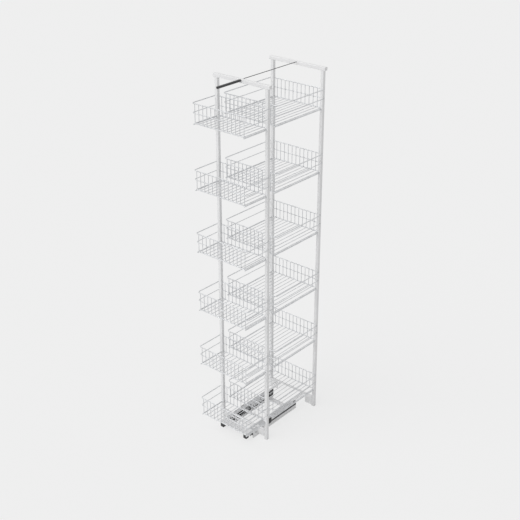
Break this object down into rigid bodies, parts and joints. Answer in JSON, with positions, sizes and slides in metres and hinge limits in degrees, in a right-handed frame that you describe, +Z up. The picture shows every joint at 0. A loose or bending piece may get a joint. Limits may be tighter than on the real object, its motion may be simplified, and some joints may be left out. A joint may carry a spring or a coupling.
{
  "type": "pull out larder unit",
  "caption": "Tall pull-out larder frame: square-tube portals with wire baskets on roller runners, with an arm and a cross member for a front panel.",
  "frame": {"origin": "middle of the unit's footprint on the cabinet floor", "axes": "+X across the cabinet to the right, -Y the way the frame pulls out, +Z up"},
  "size_m": [0.32, 0.544, 1.798],
  "materials": {
    "white_paint": "satin powder coat",
    "silver_wire": "semi-gloss silver coat",
    "black_paint": "matt powder coat",
    "zinc_steel": "zinc plated",
    "black_plastic": "moulded, fine grain",
    "grey_nylon": "turned nylon",
    "plug_plastic": "moulded"
  },
  "bodies": {
    "cabinet_base": {"base_frame": "white_paint", "floor_track_left": "black_paint", "floor_track_right": "black_paint", "track_stops": "black_plastic", "guide_buttons": "black_plastic"},
    "middle_carriage_left": {"front_end_block_left": "black_plastic", "slot_plate_left": "zinc_steel", "roller_block_left": "black_plastic", "ball_plate_left": "zinc_steel", "rear_end_block_left": "black_plastic"},
    "front_roller_left": {"front_roller_left": "grey_nylon"},
    "main_roller_left": {"main_roller_left": "grey_nylon"},
    "rear_roller_left": {"rear_roller_left": "grey_nylon"},
    "middle_carriage_right": {"front_end_block_right": "black_plastic", "slot_plate_right": "zinc_steel", "roller_block_right": "black_plastic", "ball_plate_right": "zinc_steel", "rear_end_block_right": "black_plastic"},
    "front_roller_right": {"front_roller_right": "grey_nylon"},
    "main_roller_right": {"main_roller_right": "grey_nylon"},
    "rear_roller_right": {"rear_roller_right": "grey_nylon"},
    "pull_out_frame": {"slide_rail_left": "zinc_steel", "slide_rail_right": "zinc_steel", "side_skirt_left": "white_paint", "side_skirt_right": "white_paint", "front_cross_member": "white_paint", "buffers": "black_plastic", "cross_strips": "white_paint", "front_foot_bridge": "white_paint", "rear_foot_bridge": "white_paint", "tie_bars": "white_paint", "upright_front_left": "white_paint", "upright_front_right": "white_paint", "upright_rear_left": "white_paint", "upright_rear_right": "white_paint", "upright_plugs": "plug_plastic", "front_crossbar": "white_paint", "rear_crossbar": "white_paint", "front_arm": "black_paint", "tie_rod": "black_paint", "front_shelf_rails": "silver_wire", "rear_shelf_rails": "silver_wire", "front_basket_1": "silver_wire", "front_basket_2": "silver_wire", "front_basket_3": "silver_wire", "front_basket_4": "silver_wire", "front_basket_5": "silver_wire", "front_basket_6": "silver_wire", "rear_basket_1": "silver_wire", "rear_basket_2": "silver_wire", "rear_basket_3": "silver_wire", "rear_basket_4": "silver_wire", "rear_basket_5": "silver_wire", "rear_basket_6": "silver_wire"}
  },
  "joints": [
    {"name": "frame_slide", "type": "slide", "parent": "cabinet_base", "child": "pull_out_frame", "axis": [0, -1, 0], "range_m": [0, 0.32]},
    {"name": "carriage_slide_left", "type": "slide", "parent": "cabinet_base", "child": "middle_carriage_left", "axis": [0, -1, 0], "range_m": [0, 0.16]},
    {"name": "front_roller_spin_left", "type": "hinge", "parent": "middle_carriage_left", "child": "front_roller_left", "pos_m": [-0.071, -0.1285, 0.0253], "axis": [1, 0, 0], "range_deg": [0, 1146]},
    {"name": "main_roller_spin_left", "type": "hinge", "parent": "middle_carriage_left", "child": "main_roller_left", "pos_m": [-0.071, -0.005, 0.0325], "axis": [1, 0, 0], "range_deg": [0, 604]},
    {"name": "rear_roller_spin_left", "type": "hinge", "parent": "middle_carriage_left", "child": "rear_roller_left", "pos_m": [-0.071, 0.1695, 0.0253], "axis": [1, 0, 0], "range_deg": [0, 1146]},
    {"name": "carriage_slide_right", "type": "slide", "parent": "cabinet_base", "child": "middle_carriage_right", "axis": [0, -1, 0], "range_m": [0, 0.16]},
    {"name": "front_roller_spin_right", "type": "hinge", "parent": "middle_carriage_right", "child": "front_roller_right", "pos_m": [0.071, -0.1285, 0.0253], "axis": [1, 0, 0], "range_deg": [0, 1146]},
    {"name": "main_roller_spin_right", "type": "hinge", "parent": "middle_carriage_right", "child": "main_roller_right", "pos_m": [0.071, -0.005, 0.0325], "axis": [1, 0, 0], "range_deg": [0, 604]},
    {"name": "rear_roller_spin_right", "type": "hinge", "parent": "middle_carriage_right", "child": "rear_roller_right", "pos_m": [0.071, 0.1695, 0.0253], "axis": [1, 0, 0], "range_deg": [0, 1146]}
  ],
  "couplings": [
    {"joint": "carriage_slide_left", "follows": "frame_slide", "ratio": 0.5},
    {"joint": "front_roller_spin_left", "follows": "frame_slide", "rad_per_m": 62.5},
    {"joint": "main_roller_spin_left", "follows": "frame_slide", "rad_per_m": 32.895},
    {"joint": "rear_roller_spin_left", "follows": "frame_slide", "rad_per_m": 62.5},
    {"joint": "carriage_slide_right", "follows": "frame_slide", "ratio": 0.5},
    {"joint": "front_roller_spin_right", "follows": "frame_slide", "rad_per_m": 62.5},
    {"joint": "main_roller_spin_right", "follows": "frame_slide", "rad_per_m": 32.895},
    {"joint": "rear_roller_spin_right", "follows": "frame_slide", "rad_per_m": 62.5}
  ]
}
